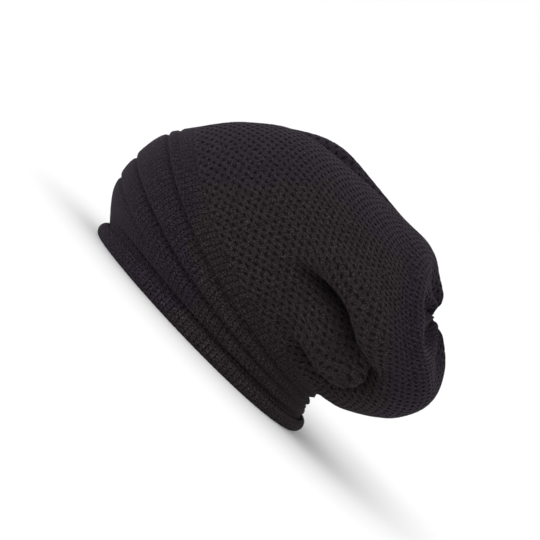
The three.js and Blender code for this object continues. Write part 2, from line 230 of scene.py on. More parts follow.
@dataclass
class HatForm:
    """The folded surface of the hat, in millimetres, at any ring number and angle.

    Args:
        brim_length: Forehead to nape, outside the band's lower edge.
        brim_width: Temple to temple, outside the same edge.
        hem_radius: Radius of the rolled edge.
        band_foot: Height of the band's lower edge.
        band_rise_front: Height of the band at the forehead.
        band_rise_nape: Height of the band at the nape.
        crown_height: Top of the crown above the surface.
        crown_width: Across the widest ring.
        slouch_reach: How far the bag hangs past the nape.
        knit: Thickness of the crown's layer.
        crease_depth: Depth of a crease whose share is 1.
        crease_width: Half the width of such a crease.
        valley_place: How far a crease's valley lies before its line, share of its width.
        soft_side: How wide the knit slopes down into a crease or tuck, share of its width.
        steep_side: The same beside the line, where the knit turns back up.
        ridge_height: The low ridge behind a crease, share of its depth.
        ridge_place: How far behind the line that ridge lies, share of the width.
        lip_place: The same for the leaning lip.
        pleat_depth: Height of the pleats round the gathered end.
        pleats: How many there are.
        pleat_start: Ring number where they begin.
        pleat_wave: Share of half a wave that they rise and fall through.
        tuck_depth: What the depths of the tucks are shares of.
        tuck_width: Half the width of a tuck.
        tuck_slope: How much of a tuck lies in its slopes.
        tuck_line: How much of it lies in its thin line.
        line_width: Half the width of that line, share of the tuck's.
        first_ring: Ring number of the change of stitch.
        last_ring: Ring number of the gathered end.
        fold_start: Rings past the change of stitch over which the folds set in.
        route_steps: Straight steps between two points of a crease.
        routes: The creases, laid out as short steps.
    """

    brim_length: float = 202.0
    brim_width: float = 164.0
    hem_radius: float = 5.5
    band_foot: float = 9.68
    band_rise_front: float = 97.0
    band_rise_nape: float = 23.0
    crown_height: float = 170.0
    crown_width: float = 198.0
    slouch_reach: float = 60.0
    knit: float = 3.0
    crease_depth: float = 15.0
    crease_width: float = 10.0
    valley_place: float = 0.4
    soft_side: float = 1.3
    steep_side: float = 0.6
    ridge_height: float = 0.25
    ridge_place: float = 1.3
    lip_place: float = 0.7
    pleat_depth: float = 3.5
    pleats: int = 9
    pleat_start: float = 9.0
    pleat_wave: float = 0.8
    tuck_depth: float = 3.6
    tuck_width: float = 4.2
    tuck_slope: float = 0.35
    tuck_line: float = 0.85
    line_width: float = 0.38
    first_ring: float = 4.0
    last_ring: float = 12.0
    fold_start: float = 0.8
    route_steps: int = 8
    routes: list[tuple[Crease, np.ndarray, np.ndarray]] = field(default_factory=list)

    def __post_init__(self) -> None:
        """Lays the creases out as short steps on the smooth hat."""
        self.routes = [(crease, *self.route(crease)) for crease in CREASES]

    def along_rings(self, values: np.ndarray, position: np.ndarray) -> np.ndarray:
        """A ring value at any ring number, on a curve through the rings.

        Args:
            values: The value at each ring.
            position: Ring numbers.

        Returns:
            The values at those ring numbers.
        """
        last = len(values) - 1
        row = np.clip(np.floor(position).astype(int), 0, last - 1)
        t = position - row
        before = values[np.maximum(row - 1, 0)]
        start = values[row]
        end = values[row + 1]
        after = values[np.minimum(row + 2, last)]
        tangent_start = (end - before) / 2
        tangent_end = (after - start) / 2
        rest = end - start
        square = (3 * rest - 2 * tangent_start - tangent_end) * t**2
        return start + tangent_start * t + square + (tangent_start + tangent_end - 2 * rest) * t**3

    def height(self, rise: float, band_rise: float) -> float:
        """Height above the surface of a rise of 0 to 2, where the band has the given rise."""
        band_top = self.band_foot + band_rise
        if rise <= 1:
            return self.band_foot + band_rise * rise
        return band_top + (self.crown_height - band_top) * (rise - 1)

    def plain(self, position: np.ndarray, angle: np.ndarray) -> np.ndarray:
        """The smooth hat without tucks or folds.

        Args:
            position: Ring numbers.
            angle: Angles in radians, of the same shape.

        Returns:
            Points, with a last axis of three.
        """
        half = self.brim_length / 2
        widths = [ring.wide * self.crown_width for ring in RINGS]
        widths[0] = self.brim_width
        table = (
            [-half + ring.ahead * self.brim_length for ring in RINGS],
            [self.height(ring.front_rise, self.band_rise_front) for ring in RINGS],
            [half + ring.reach * self.slouch_reach for ring in RINGS],
            [self.height(ring.rear_rise, self.band_rise_nape) for ring in RINGS],
            widths,
            [ring.egg for ring in RINGS],
            [ring.sag * self.band_rise_front for ring in RINGS],
        )
        rows = [self.along_rings(np.array(values, float), position) for values in table]
        front_x, front_z, rear_x, rear_z, width, egg, sag = rows
        cos = np.cos(angle)
        sin = np.sin(angle)
        along_x = (front_x - rear_x) / 2
        along_z = (front_z - rear_z) / 2
        along = np.hypot(along_x, along_z)
        dip = sag * sin * sin * (1 + cos / 2)
        return np.stack(
            (
                (front_x + rear_x) / 2 + along_x * cos - dip * along_z / along,
                -width / 2 * sin * (1 - egg * cos),
                (front_z + rear_z) / 2 + along_z * cos + dip * along_x / along,
            ),
            axis=-1,
        )

    def normal(self, position: np.ndarray, angle: np.ndarray) -> np.ndarray:
        """The outward normal of the smooth hat."""
        low = np.maximum(position - RING_NUDGE, 0.0)
        high = np.minimum(position + RING_NUDGE, len(RINGS) - 1.0)
        up = self.plain(high, angle) - self.plain(low, angle)
        around = self.plain(position, angle + ANGLE_NUDGE) - self.plain(position, angle - ANGLE_NUDGE)
        return -unit(np.cross(up, around))

    def route(self, crease: Crease) -> tuple[np.ndarray, np.ndarray]:
        """A crease as short straight steps on the smooth hat.

        Args:
            crease: The crease.

        Returns:
            The points of the steps, and the strength at each.
        """
        points = np.array(crease.points, float)
        spans = len(points) - 1
        share = np.linspace(0, spans, self.route_steps * spans + 1)
        place = np.stack([self.along_rings(points[:, k], share) for k in range(3)], axis=-1)
        return self.plain(place[:, 0], np.radians(place[:, 1])), place[:, 2]

    def fold(self, index: int, points: np.ndarray, normals: np.ndarray) -> np.ndarray:
        """What one crease adds: it presses the knit in and leans the lip behind it over.

        Args:
            index: Which crease.
            points: Points of the smooth hat.
            normals: The outward normals there.

        Returns:
            The shift of each point.
        """
        crease, steps, strengths = self.routes[index]
        nearest = np.full(points.shape[:-1], np.inf)
        offset = np.zeros(points.shape)
        heading = np.zeros(points.shape)
        strength = np.zeros(points.shape[:-1])
        for start, end, weak, strong in zip(steps[:-1], steps[1:], strengths[:-1], strengths[1:]):
            step = end - start
            share = np.clip((points - start) @ step / (step @ step), 0.0, 1.0)
            gap = points - (start + share[..., None] * step)
            length = (gap**2).sum(-1)
            closer = length < nearest
            nearest = np.where(closer, length, nearest)
            offset = np.where(closer[..., None], gap, offset)
            heading = np.where(closer[..., None], step, heading)
            strength = np.where(closer, weak + (strong - weak) * share, strength)
        side = unit(np.cross(normals, heading))
        across = (offset * side).sum(-1)
        beside = np.sqrt(np.maximum((offset**2).sum(-1) - across**2, 0.0))
        width = crease.wide * self.crease_width
        strength = strength * bell(beside, width)
        depth = crease.deep * self.crease_depth * strength
        past = across + self.valley_place * width
        valley = bell(past, np.where(past < 0, self.soft_side, self.steep_side) * width)
        ridge = self.ridge_height * bell(across - self.ridge_place * width, width)
        press = depth * (ridge - valley)
        lip = bell(across - self.lip_place * width, self.lip_place * width)
        lean = -crease.lip * self.crease_depth * strength * lip
        return normals * press[..., None] + side * lean[..., None]

    def pleat(self, position: np.ndarray, angle: np.ndarray) -> np.ndarray:
        """Height of the pleats that draw the knit together at the end."""
        share = np.clip((position - self.pleat_start) / (self.last_ring - self.pleat_start), 0.0, 1.0)
        return self.pleat_depth * np.sin(np.pi * self.pleat_wave * share) * np.cos(self.pleats * angle)

    def crown(self, position: np.ndarray, angle: np.ndarray) -> np.ndarray:
        """The outside of the crown with its folds.

        Args:
            position: Ring numbers.
            angle: Angles in radians, of the same shape.

        Returns:
            Points, with a last axis of three.
        """
        points = self.plain(position, angle)
        normals = self.normal(position, angle)
        ease = smooth_step(position, self.first_ring, self.first_ring + self.fold_start)
        rise = self.pleat(position, angle)
        for swelling in SWELLINGS:
            middle = self.plain(np.array(swelling.ring), np.array(math.radians(swelling.angle)))
            away = np.linalg.norm(points - middle, axis=-1)
            hump = bell(away, swelling.radius * self.crease_depth)
            rise = rise + ease * swelling.height * self.crease_depth * hump
        result = points + normals * rise[..., None]
        for index in range(len(self.routes)):
            result = result + self.fold(index, points, normals) * ease[..., None]
        return result

    def round_value(self, front: float, side: float, rear: float, angle: np.ndarray) -> np.ndarray:
        """A value given at the front, the sides and the rear, at any angle."""
        cos = np.cos(angle)
        return side + (front - rear) / 2 * cos + ((front + rear) / 2 - side) * cos * cos

    def band(self, position: np.ndarray, angle: np.ndarray) -> np.ndarray:
        """The outside of the band: tucks pressed in as thin lines, with the knit sloping down to them.

        Args:
            position: Ring numbers from 0 to the change of stitch.
            angle: Angles in radians, of the same shape.

        Returns:
            Points, with a last axis of three.
        """
        share = position / self.first_ring
        side_rise = (self.band_rise_front + self.band_rise_nape) / 2
        rise = self.round_value(self.band_rise_front, side_rise, self.band_rise_nape, angle)
        depth = np.zeros(position.shape)
        for tuck in TUCKS:
            away = (share - self.round_value(tuck.front, tuck.side, tuck.rear, angle)) * rise
            deep = self.round_value(tuck.deep_front, tuck.deep_side, tuck.deep_rear, angle)
            soft = bell(away, np.where(away < 0, self.soft_side, self.steep_side) * self.tuck_width)
            groove = self.tuck_slope * soft + self.tuck_line * bell(away, self.line_width * self.tuck_width)
            depth = np.maximum(depth, self.tuck_depth * np.maximum(deep, 0.0) * groove)
        return self.plain(position, angle) - self.normal(position, angle) * depth[..., None]


class Grain(Enum):
    """How fine each noise in the yarn is."""

    PATCH = 40.0
    STRAY_ALONG = 230.0
    STRAY_ROUND = 260.0
    FLUFF = 400.0
    STRAND = 700.0
    FIBRE = 1250.0


class Stitch(Enum):
    """How a piece is knitted."""

    PLAIN = "plain"
    OPENWORK = "openwork"


@dataclass(frozen=True)
class Gauge:
    """How many stitches go round and how long a row is.

    Args:
        stitch: The kind of knit.
        columns: Columns of holes or stitches round the hat.
        row: Length of one repeat along a column, in millimetres.
        wander: How much the stitches stray, share of the openwork's.
        gap_shade: How much painted shade darkens its gaps below its yarn.
    """

    stitch: Stitch
    columns: int
    row: float
    wander: float
    gap_shade: float


PLAIN_GAUGE = Gauge(Stitch.PLAIN, 140, 2.7, 0.45, 0.72)
OPEN_GAUGE = Gauge(Stitch.OPENWORK, 144, 6.8, 1.0, 0.74)
# Share of the columns that go on, and the column width in millimetres from which they are all there.
DECREASES = ((0.25, 0.0), (0.5, 1.5), (0.75, 2.4), (1.0, 3.2))
# How many columns the openwork leans sideways in one repeat along a column.
LEAN = 0.34
# Weights of the strands of the openwork that rise and fall.
RISING = 0.56
FALLING = 0.44
# Over how much column width, in millimetres, a share of the columns comes in.
COMING_IN = 0.3
# Half the gap at the change of stitch, in ring numbers.
HALF_GAP = 0.003
# Section of the drawn end from its back to its dimple: share of the rim's radius, rise in millimetres.
END_SECTION = (
    (0.0, -2.8), (1.0, -2.9), (1.0, -1.5), (0.97, -0.2), (0.85, 0.5),
    (0.65, 0.6), (0.4, 0.1), (0.2, -0.8), (0.0, -1.6),
)


@dataclass(frozen=True)
class Cut:
    """What a piece of knit measures laid out flat, in metres.

    Args:
        flat: Width round the hat and length along it.
        area: Its area, as the band narrows to the nape and the crown to the gathered end.
    """

    flat: tuple[float, float]
    area: float


CROWN_CUT = Cut((0.60, 0.24), 0.107)
BAND_CUT = Cut((0.60, 0.11), 0.042)
HEM_CUT = Cut((0.60, 0.032), 0.0189)


# Cosine of 45 degrees: the photograph shows the hat turned by about that much.
DIAGONAL = 0.7071
# Where the yarn turns plum, each as the start and the end of the change, in metres.
FRONT_EDGE = (0.004, 0.01)
FRONT_FOOT = (0.029, 0.035)
UPPER_EDGE = (0.122, 0.128)
REAR_EDGE = (0.138, 0.144)
TOP_EDGE = (0.146, 0.152)
LOBE_EDGE = (0.126, 0.131)
LOBE_FOOT = (0.0, 0.012)
# How ragged those edges are, in metres.
RAGGED = 0.03
# How far stitches stray round the hat and along it, in columns and rows.
STRAY_ROUND = 0.55
STRAY_ALONG = 0.45
# How far a stitch's legs slant, in rows.
LEG_SLANT = 0.22


class Term:
    """A shader value in a node tree, on which Python's operators add Math nodes."""

    def __init__(self, dye: "DyeBath", socket: bpy.types.NodeSocket) -> None:
        """Keeps the tree and the socket."""
        self.dye = dye
        self.socket = socket

    def maths(self, operation: str, *others: "Term | float") -> "Term":
        """A Math node that starts from this value."""
        values = [self, *others]
        return self.dye.node("ShaderNodeMath", {"operation": operation}, dict(enumerate(values)))

    def __add__(self, other: "Term | float") -> "Term":
        """Sum."""
        return self.maths("ADD", other)

    def __sub__(self, other: "Term | float") -> "Term":
        """Difference."""
        return self.maths("SUBTRACT", other)

    def __mul__(self, other: "Term | float") -> "Term":
        """Product."""
        return self.maths("MULTIPLY", other)

    def __rsub__(self, other: float) -> "Term":
        """A number less this value."""
        return self * -1.0 + other

    def cosine(self) -> "Term":
        """Cosine of this value in radians."""
        return self.maths("COSINE")

    def highest(self, other: "Term | float") -> "Term":
        """The larger of two values."""
        return self.maths("MAXIMUM", other)

    def between(self, low: float, high: float) -> "Term":
        """0 at low, 1 at high, smooth between them."""
        settings = {"interpolation_type": "SMOOTHSTEP"}
        return self.dye.node("ShaderNodeMapRange", settings, {0: self, 1: low, 2: high}, "Result")


class DyeBath:
    """Makes one material and adds its nodes."""

    def __init__(self, name: str) -> None:
        """Starts an empty material of the given name."""
        self.material = bpy.data.materials.new(name)
        self.material.use_nodes = True
        self.tree = self.material.node_tree
        self.tree.nodes.clear()

    def node(
        self, kind: str, settings: dict[str, object], inputs: dict[int | str, object], output: int | str = 0
    ) -> Term:
        """Adds a node.

        Args:
            kind: The node's type.
            settings: Its properties, set before its inputs.
            inputs: Its input sockets by name or number, each a Term or a plain value.
            output: Which output to return.

        Returns:
            That output.
        """
        made = self.tree.nodes.new(kind)
        for name, value in settings.items():
            setattr(made, name, value)
        for name, value in inputs.items():
            if isinstance(value, Term):
                self.tree.links.new(value.socket, made.inputs[name])
            else:
                made.inputs[name].default_value = value
        return Term(self, made.outputs[output] if len(made.outputs) else None)

    def blend(self, share: Term, low: object, high: object) -> Term:
        """Mixes two colours by a share."""
        settings = {"data_type": "RGBA", "clamp_factor": True}
        return self.node("ShaderNodeMix", settings, {0: share, 6: low, 7: high}, 2)

    def noise(self, where: Term, grain: Grain, detail: float, output: str = "Fac") -> Term:
        """A noise texture on the given coordinates."""
        inputs = {"Vector": where, "Scale": grain.value, "Detail": detail, "Roughness": 0.6}
        return self.node("ShaderNodeTexNoise", {}, inputs, output)


@dataclass(frozen=True)
class KnitYarn:
    """The soft dark yarn, knitted plain or in openwork.

    Args:
        name: Name of the material.
        gauge: How it is knitted.
        yarn: Colour of the yarn in full light.
        plum: Colour of the yarn where it turns plum.
        relief: Height of the stitches, in metres.
        lightness: How much lighter the yarn is than the plain one; above 1, as on the hem, it is painted
            light.
    """

    name: str
    gauge: Gauge
    yarn: tuple[float, float, float, float] = (0.0168, 0.0126, 0.0137, 1.0)
    plum: tuple[float, float, float, float] = (0.0150, 0.0107, 0.0166, 1.0)
    relief: float = 0.0007
    lightness: float = 1.0

    def holes(self, dye: DyeBath, u: Term, v: Term) -> Term:
        """Where the holes of the openwork lie.

        Args:
            dye: The material in the making.
            u: Column number.
            v: Row number.

        Returns:
            1 in the holes and 0 on the yarn.
        """
        width = dye.node("ShaderNodeAttribute", {"attribute_name": "column_width"}, {}, "Fac")
        gaps = width * 0.0
        for share, enough in DECREASES:
            rising = (u * (share * math.pi) - v * TURN).cosine()
            falling = (u * (share * math.pi) + v * TURN).cosine()
            lattice = (rising * RISING + falling * FALLING).between(0.05, 0.9)
            part = width.between(enough - COMING_IN, enough)
            gaps = gaps * (1.0 - part) + lattice * part
        return gaps

    def legs(self, u: Term, v: Term) -> Term:
        """Where the gaps between the legs of plain stitches lie.

        Args:
            u: Column number.
            v: Row number.

        Returns:
            1 in the gaps and 0 on the yarn.
        """
        across = (u * TURN).cosine()
        slanted = v + across * LEG_SLANT
        # The gap is deep between two columns, and shallow between the two legs of a stitch.
        beside = (u * (2 * TURN)).cosine() * 0.22 + across * 0.28 + 0.5
        between = (slanted * TURN).cosine() * 0.5 + 0.5
        return (beside * 0.7 + between * 0.5).between(0.45, 1.05)

    def plum_share(self, dye: DyeBath, where: Term) -> Term:
        """Where the yarn turns plum: over the forehead, the top, the rear and the lowest lobe.

        Args:
            dye: The material in the making.
            where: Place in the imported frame.

        Returns:
            1 where the yarn is plum and 0 where it is not.
        """
        x = dye.node("ShaderNodeSeparateXYZ", {}, {0: where}, 0)
        z = dye.node("ShaderNodeSeparateXYZ", {}, {0: where}, 2)
        ragged = (dye.noise(where, Grain.PATCH, 2.0) - 0.5) * RAGGED
        forward = (x + z) * DIAGONAL + ragged
        upward = (z - x) * DIAGONAL + ragged
        plum = (forward * -1.0).between(*FRONT_EDGE) * upward.between(*FRONT_FOOT)
        plum = plum.highest(upward.between(*UPPER_EDGE))
        plum = plum.highest(forward.between(*REAR_EDGE))
        plum = plum.highest((z + ragged).between(*TOP_EDGE))
        lowest_lobe = forward.between(*LOBE_EDGE) * (upward * -1.0).between(*LOBE_FOOT)
        return plum.highest(lowest_lobe)

    def stitch_places(self, dye: DyeBath, where: Term) -> tuple[Term, Term]:
        """Column and row number, which stray a little from place to place.

        Args:
            dye: The material in the making.
            where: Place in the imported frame.

        Returns:
            The column number and the row number.
        """
        uv = dye.node("ShaderNodeUVMap", {"uv_map": "knit"}, {})
        sway_noise = dye.noise(where, Grain.STRAY_ROUND, 2.0, "Color")
        sway = dye.node("ShaderNodeSeparateXYZ", {}, {0: sway_noise}, 0) - 0.5
        swing_noise = dye.noise(where, Grain.STRAY_ALONG, 2.0, "Color")
        swing = dye.node("ShaderNodeSeparateXYZ", {}, {0: swing_noise}, 1) - 0.5
        column = dye.node("ShaderNodeSeparateXYZ", {}, {0: uv}, 0)
        row = dye.node("ShaderNodeSeparateXYZ", {}, {0: uv}, 1)
        wander = self.gauge.wander
        return column + sway * (STRAY_ROUND * wander), row + swing * (STRAY_ALONG * wander)

    def dyed(self) -> bpy.types.Material:
        """Makes the material.

        Returns:
            The finished material.
        """
        dye = DyeBath(self.name)
        where = dye.node("ShaderNodeTexCoord", {}, {}, "Object")
        column, row = self.stitch_places(dye, where)
        openwork = self.gauge.stitch is Stitch.OPENWORK
        gaps = self.holes(dye, column, row) if openwork else self.legs(column, row)
        fibre = dye.noise(where, Grain.FIBRE, 2.0)
        strand = dye.noise(where, Grain.STRAND, 1.0)
        base = dye.blend(self.plum_share(dye, where), self.yarn, self.plum)
        # Most fibres are dark and some are lighter; a few bright flecks are painted highlights, where
        # fibres would catch the light.
        tone = fibre.between(0.4, 0.64) * 1.8 + 0.32
        tone = tone + fibre.between(0.64, 0.74) * 2.9
        tone = tone * (strand.between(0.36, 0.58) * 0.3 + 0.7)
        # Painted shade darkens the gaps between the stitches and the holes of the openwork.
        tone = tone * (1.0 - gaps * self.gauge.gap_shade) * self.lightness
        colour = dye.node("ShaderNodeVectorMath", {"operation": "SCALE"}, {0: base, "Scale": tone})
        height = (1.0 - gaps) + fibre * 0.4 + strand * 0.3
        bump = dye.node(
            "ShaderNodeBump", {}, {"Strength": 1.0, "Distance": self.relief, "Height": height}, "Normal"
        )
        cloth = dye.node(
            "ShaderNodeBsdfPrincipled",
            {},
            {
                "Base Color": colour,
                "Roughness": 0.95,
                "Specular IOR Level": 0.08,
                "Sheen Weight": 0.1,
                "Sheen Roughness": 0.5,
                "Sheen Tint": (0.32, 0.27, 0.32, 1.0),
                "Normal": bump,
            },
        )
        dye.node("ShaderNodeOutputMaterial", {}, {"Surface": cloth})
        return dye.material


@dataclass(frozen=True)
class LooseFibre:
    """The fine fibres that stand off the yarn.

    Args:
        name: Name of the material.
        colour: Colour of the fibres.
    """

    name: str = "loose_fibre"
    colour: tuple[float, float, float, float] = (0.016, 0.012, 0.014, 1.0)

    def dyed(self) -> bpy.types.Material:
        """Makes the material, a little lighter from place to place."""
        dye = DyeBath(self.name)
        where = dye.node("ShaderNodeTexCoord", {}, {}, "Object")
        light = dye.noise(where, Grain.FLUFF, 1.0).between(0.35, 0.7)
        colour = dye.blend(light, self.colour, tuple(2.0 * c for c in self.colour[:3]) + (1.0,))
        cloth = dye.node("ShaderNodeBsdfPrincipled", {}, {"Base Color": colour, "Roughness": 1.0})
        dye.node("ShaderNodeOutputMaterial", {}, {"Surface": cloth})
        return dye.material


@dataclass(frozen=True)
class PaleFloor:
    """The plain pale floor's paint.

    Args:
        name: Name of the material.
        colour: Its colour.
    """

    name: str = "pale_floor"
    colour: tuple[float, float, float, float] = (0.9, 0.9, 0.9, 1.0)

    def dyed(self) -> bpy.types.Material:
        """Makes the material."""
        dye = DyeBath(self.name)
        paint = dye.node("ShaderNodeBsdfPrincipled", {}, {"Base Color": self.colour, "Roughness": 0.9})
        dye.node("ShaderNodeOutputMaterial", {}, {"Surface": paint})
        return dye.material


class Workroom:
    """Mesh work that several pieces share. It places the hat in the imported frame."""

    def __init__(self) -> None:
        """Finds the brim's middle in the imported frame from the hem's box."""
        low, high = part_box("rolled_hem")
        self.middle = np.array(((low.x + high.x) / 2, (low.y + high.y) / 2, 0.0))

    def placed(self, points: np.ndarray) -> np.ndarray:
        """Millimetres about the brim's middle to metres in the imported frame."""
        return points * MM + self.middle

    def round_grid(
        self, name: str, points: np.ndarray, columns: np.ndarray, lengths: np.ndarray
    ) -> bpy.types.Object:
        """A grid primitive rolled round the hat, with its knit coordinates as a UV map.

        Args:
            name: Name of the object.
            points: Rows of points in millimetres. The last column repeats the first.
            columns: Knit column number of each point.
            lengths: Knit row number of each point.

        Returns:
            The object, closed round the hat and open at both ends.
        """
        rows, cols = points.shape[:2]
        bpy.ops.object.select_all(action="DESELECT")
        bpy.ops.mesh.primitive_grid_add(x_subdivisions=cols - 1, y_subdivisions=rows - 1, size=2.0)
        made = bpy.context.object
        made.name = name
        mesh = made.data
        mesh.name = name
        flat = np.empty(len(mesh.vertices) * 3)
        mesh.vertices.foreach_get("co", flat)
        flat = flat.reshape(-1, 3)
        col = np.rint((flat[:, 0] + 1) / 2 * (cols - 1)).astype(int)
        row = np.rint((flat[:, 1] + 1) / 2 * (rows - 1)).astype(int)
        mesh.vertices.foreach_set("co", self.placed(points[row, col]).ravel())
        corner = np.empty(len(mesh.loops), dtype=np.int32)
        mesh.loops.foreach_get("vertex_index", corner)
        knit = np.stack((columns[row[corner], col[corner]], lengths[row[corner], col[corner]]), axis=-1)
        layer = mesh.uv_layers.active or mesh.uv_layers.new()
        layer.name = "knit"
        layer.data.foreach_set("uv", knit.ravel())
        width = mesh.attributes.new("column_width", "FLOAT", "POINT")
        width.data.foreach_set("value", column_widths(points, columns)[row, col])
        mesh.update()
        bpy.ops.object.mode_set(mode="EDIT")
        bpy.ops.mesh.select_all(action="SELECT")
        bpy.ops.mesh.remove_doubles(threshold=0.00001)
        bpy.ops.object.mode_set(mode="OBJECT")
        return made

    def walled(self, outside: bpy.types.Object, inside: bpy.types.Object) -> bpy.types.Object:
        """Joins an inner layer to an outer one and bridges both rims.

        Args:
            outside: The outer layer.
            inside: The inner layer, whose faces point into the hollow.

        Returns:
            The closed shell.
        """
        bpy.ops.object.select_all(action="DESELECT")
        outside.select_set(True)
        inside.select_set(True)
        bpy.context.view_layer.objects.active = outside
        bpy.ops.object.join()
        self.bridge_rims(outside)
        return outside

    def bridge_rims(self, shell: bpy.types.Object) -> None:
        """Bridges the open rims two by two, each with the nearest one."""
        mesh = shell.data
        rims = self.open_rims(mesh)
        rims.sort(key=lambda rim: rim[1].z)
        for pair in (rims[:2], rims[2:]):
            edges = set(pair[0][0]) | set(pair[1][0])
            picked = np.zeros(len(mesh.edges), dtype=bool)
            picked[list(edges)] = True
            bpy.ops.object.mode_set(mode="EDIT")
            bpy.ops.mesh.select_mode(type="EDGE")
            bpy.ops.mesh.select_all(action="DESELECT")
            bpy.ops.object.mode_set(mode="OBJECT")
            mesh.edges.foreach_set("select", picked)
            bpy.ops.object.mode_set(mode="EDIT")
            bpy.ops.mesh.bridge_edge_loops()
            bpy.ops.object.mode_set(mode="OBJECT")
            log.info("%s: bridged rims of %d and %d edges", shell.name, len(pair[0][0]), len(pair[1][0]))

    def open_rims(self, mesh: bpy.types.Mesh) -> list[tuple[list[int], Vector]]:
        """The open rims of a mesh.

        Args:
            mesh: The mesh.

        Returns:
            The edges of each rim and the rim's middle.
        """
        uses = np.zeros(len(mesh.edges), dtype=int)
        edge_of_corner = np.empty(len(mesh.loops), dtype=np.int32)
        mesh.loops.foreach_get("edge_index", edge_of_corner)
        np.add.at(uses, edge_of_corner, 1)
        at_vertex: dict[int, list[int]] = {}
        for index in np.flatnonzero(uses == 1):
            for vertex in mesh.edges[index].vertices:
                at_vertex.setdefault(vertex, []).append(int(index))
        rims = []
        seen: set[int] = set()
        for start in at_vertex:
            if start in seen:
                continue
            edges: set[int] = set()
            waiting = [start]
            middle = Vector()
            count = 0
            while waiting:
                vertex = waiting.pop()
                if vertex in seen:
                    continue
                seen.add(vertex)
                middle += mesh.vertices[vertex].co
                count += 1
                for index in at_vertex[vertex]:
                    edges.add(index)
                    waiting.extend(v for v in mesh.edges[index].vertices if v not in seen)
            rims.append((sorted(edges), middle / count))
        return rims

    def finished(self, piece: bpy.types.Object, dress: bpy.types.Material, node: str) -> None:
        """Shades a piece smooth, gives it its material, hangs it under the root body and hides the CAD node
        that it replaces.

        Args:
            piece: The piece.
            dress: Its material.
            node: The CAD node that it replaces, or an empty text.
        """
        bpy.ops.object.select_all(action="DESELECT")
        piece.select_set(True)
        bpy.context.view_layer.objects.active = piece
        bpy.ops.object.shade_smooth()
        piece.data.materials.clear()
        piece.data.materials.append(dress)
        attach(piece, "root")
        if node:
            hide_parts(node)
        mesh = piece.data
        mesh.calc_loop_triangles()
        log.info("%s: %d triangles", piece.name, len(mesh.loop_triangles))


def grid_normals(points: np.ndarray) -> np.ndarray:
    """Outward normals of rows of points that run round the hat.

    Args:
        points: The rows, whose last column repeats the first.

    Returns:
        The normals, of the same shape.
    """
    up = np.gradient(points, axis=0)
    ahead = np.roll(points[:, :-1], -1, axis=1) - np.roll(points[:, :-1], 1, axis=1)
    around = np.concatenate((ahead, ahead[:, :1]), axis=1)
    return -unit(np.cross(up, around))


def share_round(points: np.ndarray) -> np.ndarray:
    """How far round its row each point lies, as a share of the row's length.

    Args:
        points: The rows, whose last column repeats the first.

    Returns:
        The shares, from 0 to 1 along each row.
    """
    steps = np.linalg.norm(np.diff(points, axis=1), axis=-1)
    along = np.concatenate((np.zeros((len(points), 1)), np.cumsum(steps, axis=1)), axis=1)
    return along / along[:, -1:]


def column_widths(points: np.ndarray, columns: np.ndarray) -> np.ndarray:
    """Width of a knit column at each point of rows that run round the hat.

    Args:
        points: The rows, whose last column repeats the first.
        columns: Knit column number of each point.

    Returns:
        The widths in millimetres, of the rows' shape.
    """
    steps = np.linalg.norm(np.diff(points, axis=1), axis=-1) / np.diff(columns, axis=1)
    return np.concatenate((steps, steps[:, :1]), axis=1)


def round_angles(near: int, far: int) -> np.ndarray:
    """Angles round the hat, near half first, with the first repeated at the end."""
    first = np.linspace(0, np.pi, near + 1)
    second = np.linspace(np.pi, 2 * np.pi, far + 1)
    return np.concatenate((first, second[1:]))


def even_rows(
    surface: Callable[[np.ndarray, np.ndarray], np.ndarray],
    angles: np.ndarray,
    start: float,
    end: float,
    count: int,
) -> tuple[np.ndarray, np.ndarray]:
    """Ring numbers that lie evenly along the knit at every angle.

    Args:
        surface: The smooth surface.
        angles: Angles of the columns.
        start: First ring number.
        end: Last ring number.
        count: Number of rows.

    Returns:
        The ring number of each point, and its distance along the knit from the first row.
    """
    fine = np.linspace(start, end, FINE_STEPS)
    grid = surface(*np.broadcast_arrays(fine[:, None], angles[None, :]))
    steps = np.linalg.norm(np.diff(grid, axis=0), axis=-1)
    length = np.concatenate((np.zeros((1, len(angles))), np.cumsum(steps, axis=0)))
    share = np.linspace(0, 1, count)
    rings = np.stack(
        [np.interp(share * length[-1, k], length[:, k], fine) for k in range(len(angles))], axis=1
    )
    return rings, share[:, None] * length[-1][None, :]


